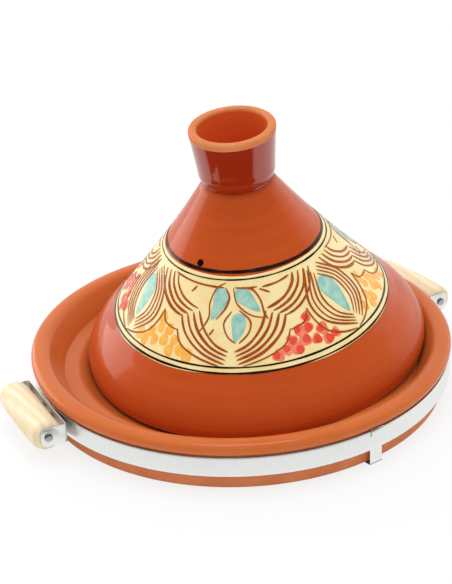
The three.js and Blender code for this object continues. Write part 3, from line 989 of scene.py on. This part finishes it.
def paint_piece(name, patches, thickness, material):
    """Join painted patches, give them the thickness of a coat of paint and put them on the lid."""
    paint = joined(name, patches)
    edit(paint)
    bpy.ops.mesh.remove_doubles(threshold=MERGE * MM)
    leave_edit()
    finish_with(paint, "SOLIDIFY", thickness=thickness * MM, offset=0)
    edit(paint)
    bpy.ops.mesh.normals_make_consistent(inside=False)
    leave_edit()
    place_in_mesh(paint, lid_pose())
    smooth(paint, PAINT_SHARP_ANGLE)
    settle(paint, "lid", [material])


def between(first, second, share):
    """Pattern points between two lines that have as many points each."""
    return [
        (a[0] + (b[0] - a[0]) * share, a[1] + (b[1] - a[1]) * share) for a, b in zip(first, second)]


def cream_band():
    """The slip's edges wander: its upper edge lies between the two upper rings."""
    top = slant_at(CREAM_TOP_RADIUS)
    low = slant_at(CREAM_LOW_RADIUS)

    def place(along, across):
        angle = 2 * math.pi * along
        facing = math.cos(angle - math.radians(MEDALLION_AZIMUTH))
        high = top + CREAM_TOP_DIP * facing + waves(angle, [(0.3, 5, 0)])
        edge = low + waves(angle, [(0.35, 4, 1), (0.2, 11, 0)])
        return on_lid(angle, high + (edge - high) * across, CREAM_LIFT)

    return laid(TURN_STEPS, CREAM_ROWS, place)


# Pattern of one repeat: points are (degrees from the motif's middle, radius on the lid).
UPPER_LOBE_INNER = [(41, 64), (38.5, 68), (32, 72.5), (25.5, 75), (19.5, 76.5)]
UPPER_LOBE_OUTER = [(54, 64.8), (48.5, 72.5), (40, 78), (33.5, 80.5), (28.5, 81.5)]
LOWER_LOBE_INNER = [(18.5, 77.5), (14.5, 85), (8, 92), (1.5, 95.5)]
LOWER_LOBE_OUTER = [(28.5, 81), (23.5, 89), (14, 96.5), (3, 101.4)]
LOBE_LINES = 4
GARLANDS = [
    [(-43, 64), (-25, 65.2), (-5, 65.8)],
    [(2, 65.8), (9, 66.2), (16, 66.2)],
    [(19, 66.6), (29, 66), (38, 64.6)],
]
LEAVES = [
    ([(-6.5, 65.8), (-7, 72), (-11, 81)], 11.0),
    ([(3, 66.8), (8.5, 71), (15.5, 77.5)], 11.5),
    ([(3.5, 77.5), (3.5, 83.5), (1.5, 91)], 11.0),
]
LEAF_LINES = [
    [(-4, 63.6), (-10, 66.5), (-13, 73), (-12.5, 80), (-17, 88)],
    [(-4, 66), (-1.5, 70), (-3.5, 75), (-8.5, 80.5)],
    [(1, 66), (3, 73), (10, 78.5), (17, 80.5)],
    [(2, 66), (12, 66.8), (16.5, 72), (17.5, 78.5), (19, 81.5)],
    [(0, 76.5), (-4, 82), (-2, 88), (2, 91.5)],
    [(4, 76), (9.5, 81), (8.5, 86.5), (3.5, 91.5)],
]
DASHES = [
    [(-23.5, 66.6), (-25, 68.2), (-26.5, 69.6)],
    [(-9, 85), (-10, 86.5), (-11, 88)],
    [(17, 67.2), (20, 68.3), (23, 69.6)],
]
PETAL = ([(-3.5, 72), (0, 81), (1.5, 93.5)], 15.5)
PETAL_LEFT_OUTER = [(-10, 65), (-17, 79), (-13, 91), (1, 100.5)]
PETAL_LEFT_INNER = [(-5, 69), (-8.5, 80), (-5, 90), (2, 96)]
PETAL_RIGHT_OUTER = [(1, 65.5), (13, 75), (15, 88), (5.5, 99.5)]
PETAL_RIGHT_INNER = [(-3, 70), (6, 77), (7.5, 87), (3, 95)]
MEDALLION_SCALLOPS = [
    [(40, 82), (36.5, 87), (28, 88.8)],
    [(28.5, 88), (24.5, 94.5), (15.5, 99), (5, 102.4)],
]
PETAL_SCALLOP = [(19.8, 81.5), (18.5, 88), (14.5, 95.5), (7.5, 100), (0.5, 102.2)]
FIELD_DABS = [
    (38.3, 85.4), (32, 89.8), (37.4, 90.4), (42.8, 93.4), (48.2, 97.4), (28, 93.6),
    (33.6, 95.2), (39.4, 97.2), (24, 97.2), (29.4, 98.8), (19.6, 99.4), (44, 99),
]


def medallion_lines(turn, side):
    """The four parallel lines of each lobe on one side of a medallion."""
    strokes = []
    for line in range(LOBE_LINES):
        share = line / (LOBE_LINES - 1)
        upper = between(UPPER_LOBE_INNER, UPPER_LOBE_OUTER, share)
        lower = between(LOWER_LOBE_INNER, LOWER_LOBE_OUTER, share)
        strokes.append(stroke(lid_path(upper, turn, side), hand.uniform(*LOBE_LINE_WIDTH)))
        strokes.append(stroke(lid_path(lower, turn, side), hand.uniform(*LOBE_LINE_WIDTH)))
    for scallop in MEDALLION_SCALLOPS:
        strokes.append(stroke(lid_path(scallop, turn, side), hand.uniform(*FINE_LINE_WIDTH)))
    petal_turn = turn + side * PETAL_TURN
    strokes.append(stroke(lid_path(PETAL_SCALLOP, petal_turn, -side), hand.uniform(*FINE_LINE_WIDTH)))
    return strokes


def petal_lines(turn):
    """The nested lines that cup a petal from its left and its right."""
    strokes = []
    for outer, inner in [(PETAL_LEFT_OUTER, PETAL_LEFT_INNER), (PETAL_RIGHT_OUTER, PETAL_RIGHT_INNER)]:
        for line in range(LOBE_LINES):
            nested = between(outer, inner, line / (LOBE_LINES - 1))
            strokes.append(stroke(lid_path(nested, turn), hand.uniform(*PETAL_LINE_WIDTH)))
    return strokes


def brown_lines():
    strokes = []
    for turn in MEDALLION_TURNS:
        strokes += medallion_lines(turn, -1)
        strokes += medallion_lines(turn, 1)
        strokes += petal_lines(turn + PETAL_TURN)
        for line in GARLANDS + LEAF_LINES + DASHES:
            strokes.append(stroke(lid_path(line, turn), hand.uniform(*FINE_LINE_WIDTH)))
    return strokes


def teal_leaves():
    leaves = []
    for turn in MEDALLION_TURNS:
        for points, width in LEAVES:
            leaves.append(leaf(lid_path(points, turn), width))
        points, width = PETAL
        leaves.append(leaf(lid_path(points, turn + PETAL_TURN), width))
    return leaves


def field_dabs(side, size, base_lift):
    """The dabs that fill the fields on one side of every medallion, each a hair above the one before."""
    dabs = []
    for turn in MEDALLION_TURNS:
        for layer, (angle, slant) in enumerate(lid_path(FIELD_DABS, turn, side)):
            swell = hand.uniform(*DAB_SWELL)
            stray_angle = hand.uniform(-DAB_STRAY_RADIANS, DAB_STRAY_RADIANS)
            stray_slant = hand.uniform(-DAB_STRAY, DAB_STRAY)
            dabs.append(dab(
                angle + stray_angle, slant + stray_slant,
                size[0] * swell, size[1] * swell, base_lift + DAB_LAYER * layer))
    return dabs


def make_painting():
    cream = painted("cream_slip_under_glaze", *CREAM_SLIP)
    brown = painted("incised_iron_brown", *IRON_BROWN)
    black = painted("manganese_black", *MANGANESE_BLACK)
    teal = painted("copper_teal_wash", *COPPER_TEAL, island_tone=0.2, pooled=0.2)
    yellow = painted("ochre_yellow_wash", *OCHRE_YELLOW, island_tone=0.3, pooled=0.1)
    red = painted("iron_red_wash", *IRON_RED, island_tone=0.4, pooled=0.1)
    deep_red = painted("iron_red_pooled", *POOLED_RED, island_tone=0.4)
    rings = [ring(*sizes) for sizes in RINGS]
    paint_piece("lid_cream_band", [cream_band()], CREAM_COAT, cream)
    paint_piece("lid_black_rings", rings, RING_COAT, black)
    paint_piece("lid_teal_leaves", teal_leaves(), WASH_COAT, teal)
    paint_piece("lid_yellow_dabs", field_dabs(-1, YELLOW_DAB, DAB_LIFT), WASH_COAT, yellow)
    paint_piece("lid_red_dabs", field_dabs(1, RED_DAB, DAB_LIFT), WASH_COAT, red)
    paint_piece("lid_red_cores", field_dabs(1, RED_CORE, CORE_LIFT), WASH_COAT, deep_red)
    paint_piece("lid_brown_lines", brown_lines(), LINE_COAT, brown)


# Carrier.
def make_hoop(zinc):
    """One strip, bent round until its end laps over its start."""
    radius = HOOP_RADIUS + SHEET / 2
    turn = 2 * math.pi
    lap = LAP_LENGTH / HOOP_RADIUS
    joggle = LAP_JOGGLE / HOOP_RADIUS
    start = math.radians(LAP_AZIMUTH) - lap / 2

    def place(along, across):
        angle = (turn + lap) * along
        rise = min(max((angle - turn) / joggle + 1, 0), 1)
        out = radius + LAP_OFFSET * rise * rise * (3 - 2 * rise)
        height = HOOP_MIDDLE + HOOP_HEIGHT * (across - 0.5)
        return Vector((out * math.cos(start + angle), out * math.sin(start + angle), height)) * MM

    hoop = laid(HOOP_STEPS, HOOP_ROWS, place)
    hoop.name = "carrier_hoop"
    finish_with(hoop, "SOLIDIFY", thickness=SHEET * MM, offset=0)
    finish_with(hoop, "BEVEL", width=SHEET_EDGE * MM, segments=EDGE_STEPS, limit_method="ANGLE")
    smooth(hoop)
    settle(hoop, "carrier", [zinc], ["hoop_band"])


def strip(name, places, width, across, bends, bend_radius):
    """The flat middle of a sheet strip: its line drawn, rounded at its bends and widened."""
    piece = draw(name, places)
    bpy.ops.mesh.select_all(action="DESELECT")
    leave_edit()
    for index in bends:
        piece.data.vertices[index].select = True
    bpy.ops.object.mode_set(mode="EDIT")
    bpy.ops.mesh.bevel(affect="VERTICES", offset=bend_radius * MM, segments=STRIP_BEND_STEPS)
    bpy.ops.mesh.select_all(action="SELECT")
    bpy.ops.mesh.extrude_region_move(TRANSFORM_OT_translate={"value": Vector(across) * width * MM})
    leave_edit()
    return piece


def give_thickness(piece):
    """Make a flat strip a sheet with lightly rounded edges."""
    finish_with(piece, "SOLIDIFY", thickness=SHEET * MM, offset=0)
    finish_with(
        piece, "BEVEL", width=SHEET_EDGE * MM, segments=EDGE_STEPS, limit_method="ANGLE",
        angle_limit=math.radians(STRIP_SHARP_ANGLE))


def make_strap(zinc):
    """Under the dish, up behind the hoop and hooked over its top edge at both ends."""
    side = [
        (TAB_RADIUS, HOOP_TOP - STRAP_TAB),
        (TAB_RADIUS, STRAP_HOOK),
        (STRAP_RADIUS, STRAP_HOOK),
        (STRAP_RADIUS, SHEET / 2),
    ]
    right = [Vector((x, -STRAP_WIDTH / 2, z)) for x, z in side]
    left = [Vector((-x, -STRAP_WIDTH / 2, z)) for x, z in side[::-1]]
    line = right + left
    strap = strip("carrier_strap", line, STRAP_WIDTH, (0, 1, 0), range(1, len(line) - 1), STRAP_BEND)
    give_thickness(strap)
    smooth(strap)
    turn_to(strap, STRAP_AZIMUTH)
    settle(strap, "carrier", [zinc], ["under_strap"])


def round_ear_corners(piece):
    """Round the free corners of a bracket's two ears."""
    leave_edit()
    for vertex in piece.data.vertices:
        vertex.select = vertex.co.x > (EAR_END - PICK) * MM
    bpy.ops.object.mode_set(mode="EDIT")
    bpy.ops.mesh.bevel(affect="VERTICES", offset=EAR_ROUND * MM, segments=EAR_ROUND_STEPS)
    leave_edit()


def make_bracket(name, azimuth, zinc):
    """A strip bent into a U: back plate on the hoop and a drilled ear at each end of the grip."""
    plate = PLATE_X + SHEET / 2
    reach = EAR_INSIDE + SHEET / 2
    low = HOOP_MIDDLE - EAR_HEIGHT / 2
    line = [(EAR_END, -reach, low), (plate, -reach, low), (plate, reach, low), (EAR_END, reach, low)]
    bracket = strip(f"bracket_strip_{name}", line, EAR_HEIGHT, (0, 0, 1), (1, 2), EAR_BEND)
    edit(bracket)
    round_ear_corners(bracket)
    give_thickness(bracket)
    drill(bracket, NAIL_RADIUS + SEAT_GAP, EAR_DRILL_LENGTH, GRIP_CENTRE, (math.pi / 2, 0, 0))
    smooth(bracket)
    turn_to(bracket, azimuth)
    settle(bracket, "carrier", [zinc], [f"bracket_{name}"])


def grip_profile():
    half = GRIP_LENGTH / 2
    bore = NAIL_RADIUS + SEAT_GAP
    bore_end = half - NAIL_DEPTH - SEAT_GAP
    end_radius = GRIP_RADIUS - GRIP_SWELL
    pen = Pen(0, -bore_end)
    pen.line(bore, -bore_end)
    pen.line(bore, BORE_EDGE - half)
    pen.line(bore + BORE_EDGE, -half)
    pen.line(end_radius - GRIP_END_ROUND, -half, steps=3)
    pen.bend(end_radius, -half, end_radius, GRIP_END_ROUND - half)
    pen.bend(GRIP_RADIUS + GRIP_SWELL, 0, end_radius, half - GRIP_END_ROUND, steps=24)
    pen.bend(end_radius, half, end_radius - GRIP_END_ROUND, half)
    pen.line(bore + BORE_EDGE, half, steps=3)
    pen.line(bore, half - BORE_EDGE)
    pen.line(bore, bore_end)
    pen.line(0, bore_end)
    return pen.points


def make_grip(name, azimuth, wood):
    grip = turned(f"turned_grip_{name}", grip_profile(), GRIP_TURN_STEPS, GRIP_CENTRE, (0, 1, 0))
    smooth(grip)
    turn_to(grip, azimuth)
    settle(grip, f"{name}_grip", [wood], [f"grip_{name}"])


def domed_head(pen, radius, seat, height):
    """End a fastener's profile with a low domed head on its seat."""
    pen.line(radius - HEAD_EDGE, seat)
    pen.bend(radius, seat, radius, seat + HEAD_EDGE, steps=3)
    pen.bend(radius, seat + height, 0, seat + height, steps=8)


def make_nail(name, end, azimuth, outwards, steel):
    """A nail along the grip's axis with a low domed head."""
    head = EAR_INSIDE + SHEET + SEAT_GAP
    point = GRIP_LENGTH / 2 - NAIL_DEPTH
    pen = Pen(0, point)
    pen.line(NAIL_RADIUS, point + NAIL_POINT)
    pen.line(NAIL_RADIUS, head, steps=2)
    domed_head(pen, NAIL_HEAD_RADIUS, head, NAIL_HEAD_HEIGHT)
    nail = turned(f"grip_nail_{name}_{end}", pen.points, SMALL_TURN_STEPS, GRIP_CENTRE, (0, outwards, 0))
    smooth(nail)
    turn_to(nail, azimuth)
    settle(nail, f"{name}_grip", [steel], [f"nail_{name}_{end}"])


def make_rivet(name, node, azimuth, across, height, head_at, steel):
    """A rivet's domed head, seated on the sheet, with its shank behind it."""
    pen = Pen(0, HOOP_RADIUS)
    pen.line(RIVET_RADIUS, HOOP_RADIUS)
    pen.line(RIVET_RADIUS, head_at)
    domed_head(pen, RIVET_HEAD_RADIUS, head_at, RIVET_HEAD_HEIGHT)
    rivet = turned(name, pen.points, SMALL_TURN_STEPS, (0, across, height), (1, 0, 0))
    smooth(rivet)
    turn_to(rivet, azimuth)
    settle(rivet, "carrier", [steel], [node])


def make_carrier():
    zinc = galvanised_steel()
    steel = fastener_steel()
    wood = pale_wood()
    plate_face = PLATE_X + SHEET + SEAT_GAP
    lap_face = HOOP_RADIUS + LAP_OFFSET + SHEET + SEAT_GAP
    make_hoop(zinc)
    make_strap(zinc)
    for name, azimuth, front in [("right", HANDLE_SET_BACK, -1), ("left", 180 - HANDLE_SET_BACK, 1)]:
        make_bracket(name, azimuth, zinc)
        make_grip(name, azimuth, wood)
        for end, way in [("front", front), ("rear", -front)]:
            make_nail(name, end, azimuth, way, steel)
            make_rivet(f"plate_rivet_{name}_{end}", f"bracket_rivet_{name}_{end}", azimuth,
                       way * BRACKET_RIVET_SPACING / 2, HOOP_MIDDLE, plate_face, steel)
    for end, way in [("lower", -1), ("upper", 1)]:
        make_rivet(f"lap_rivet_{end}", f"hoop_rivet_{end}", LAP_AZIMUTH,
                   0, HOOP_MIDDLE + way * LAP_RIVET_SPACING / 2, lap_face, steel)


# Studio.
def view_turn():
    """Turns the studio so that it faces the camera."""
    return Matrix.Rotation(math.radians(VIEW_AZIMUTH), 3, "Z")


def seen_directly(tree):
    """One where the surface is seen by the camera, in a reflection or through glass, else zero."""
    path = add(tree, "LightPath")
    opaque = add(tree, "Math", {
        0: path.outputs["Is Camera Ray"], 1: path.outputs["Is Glossy Ray"]}, operation="MAXIMUM")
    return add(tree, "Math", {
        0: opaque.outputs[0], 1: path.outputs["Is Transmission Ray"]}, operation="MAXIMUM").outputs[0]


def make_floor():
    """White paper with the object's soft shadow. Reflections see it white near the object and behind it,
    and black further in front, where a black flag keeps the paper out of the glaze."""
    material, tree = new_material("white_paper_floor")
    place = object_coordinates(tree)
    flag_normal = view_turn() @ Vector(BLACK_FLAG_NORMAL)
    behind = add(tree, "VectorMath", {0: place, 1: flag_normal}, operation="DOT_PRODUCT")
    white_behind = add(tree, "MapRange", {
        "Value": behind.outputs["Value"], "From Min": BLACK_FLAG_EDGE,
        "From Max": BLACK_FLAG_EDGE + BLACK_FLAG_BLUR})
    path = add(tree, "LightPath")
    white_near = add(tree, "MapRange", {
        "Value": path.outputs["Ray Length"], "From Min": BLACK_FLAG_REACH + BLACK_FLAG_BLUR,
        "From Max": BLACK_FLAG_REACH})
    white = add(tree, "Math", {
        0: white_behind.outputs["Result"], 1: white_near.outputs["Result"]}, operation="MAXIMUM")
    strength = add(tree, "Math", {
        0: white.outputs[0], 1: path.outputs["Is Camera Ray"]}, operation="MAXIMUM")
    paper = add(tree, "BsdfDiffuse", {"Color": linear(PAPER)})
    glow = add(tree, "Emission", {"Color": linear(WHITE), "Strength": strength.outputs[0]})
    share = add(tree, "Math", {
        0: path.outputs["Is Camera Ray"], 1: FLOOR_GLOW - 1,
        2: seen_directly(tree)}, operation="MULTIPLY_ADD")
    mixed = add(tree, "MixShader", {0: share.outputs[0], 1: paper.outputs[0], 2: glow.outputs[0]})
    add(tree, "OutputMaterial", {"Surface": mixed.outputs[0]})
    bpy.ops.object.select_all(action="DESELECT")
    bpy.ops.mesh.primitive_plane_add(size=FLOOR_SIZE, location=(0, 0, -FLOOR_DROP))
    floor = bpy.context.object
    floor.name = "floor"
    floor.data.materials.append(material)


def make_world():
    """A white studio; reflections see it fall off towards the camera's side of the room."""
    world = bpy.data.worlds.new("studio_white")
    world.use_nodes = True
    tree = world.node_tree
    tree.nodes.clear()
    direction = add(tree, "TexCoord").outputs["Generated"]
    towards_camera = view_turn() @ Vector((0, -1, 0))
    facing = add(tree, "VectorMath", {0: direction, 1: towards_camera}, operation="DOT_PRODUCT")
    room = add(tree, "MapRange", {
        "Value": facing.outputs["Value"], "From Min": ROOM_FALL_START, "From Max": ROOM_FALL_END,
        "To Min": 1.0, "To Max": ROOM_DIM})
    level = add(tree, "MapRange", {
        "Value": seen_directly(tree), "To Min": ROOM_LEVEL, "To Max": room.outputs["Result"]})
    path = add(tree, "LightPath")
    strength = add(tree, "Math", {
        0: level.outputs["Result"], 1: path.outputs["Is Camera Ray"]}, operation="MAXIMUM")
    background = add(tree, "Background", {"Color": linear(WHITE), "Strength": strength.outputs[0]})
    add(tree, "OutputWorld", {"Surface": background.outputs[0]})
    bpy.context.scene.world = world


def view_axes():
    """The camera's right, up and back, with its roll."""
    azimuth = view_turn()
    rise = math.radians(VIEW_ELEVATION)
    roll = math.radians(VIEW_ROLL)
    right = azimuth @ Vector((1, 0, 0))
    up = azimuth @ Vector((0, math.sin(rise), math.cos(rise)))
    back = azimuth @ Vector((0, -math.cos(rise), math.sin(rise)))
    rolled_right = right * math.cos(roll) + up * math.sin(roll)
    rolled_up = up * math.cos(roll) - right * math.sin(roll)
    return rolled_right, rolled_up, back


def make_camera():
    right, up, back = view_axes()
    place = (right * VIEW_RIGHT + up * VIEW_UP + back * VIEW_DISTANCE) * MM
    bpy.ops.object.camera_add()
    camera = bpy.context.object
    turn = Matrix((right, up, back)).transposed().to_4x4()
    camera.matrix_world = Matrix.Translation(place) @ turn
    camera.data.lens = VIEW_LENS
    camera.data.clip_end = VIEW_FAR_METRES
    bpy.context.scene.camera = camera


def soft_box(name, place, width, height, watts):
    """A soft box turned to the object; the camera doesn't see it."""
    place = view_turn() @ Vector(place)
    aim = Vector((0, 0, SOFT_BOX_AIM)) - place
    turn = aim.to_track_quat("-Z", "Y").to_euler()
    bpy.ops.object.light_add(type="AREA", location=place, rotation=turn)
    lamp = bpy.context.object
    lamp.name = name
    lamp.data.shape = "RECTANGLE"
    lamp.data.size = width
    lamp.data.size_y = height
    lamp.data.energy = watts
    lamp.visible_camera = False


def make_studio():
    make_floor()
    make_world()
    make_camera()
    for name, place, width, height, watts in SOFT_BOXES:
        soft_box(name, place, width, height, watts)
    bpy.context.scene.view_settings.view_transform = "Standard"


make_dish()
make_lid()
make_painting()
make_carrier()
make_studio()
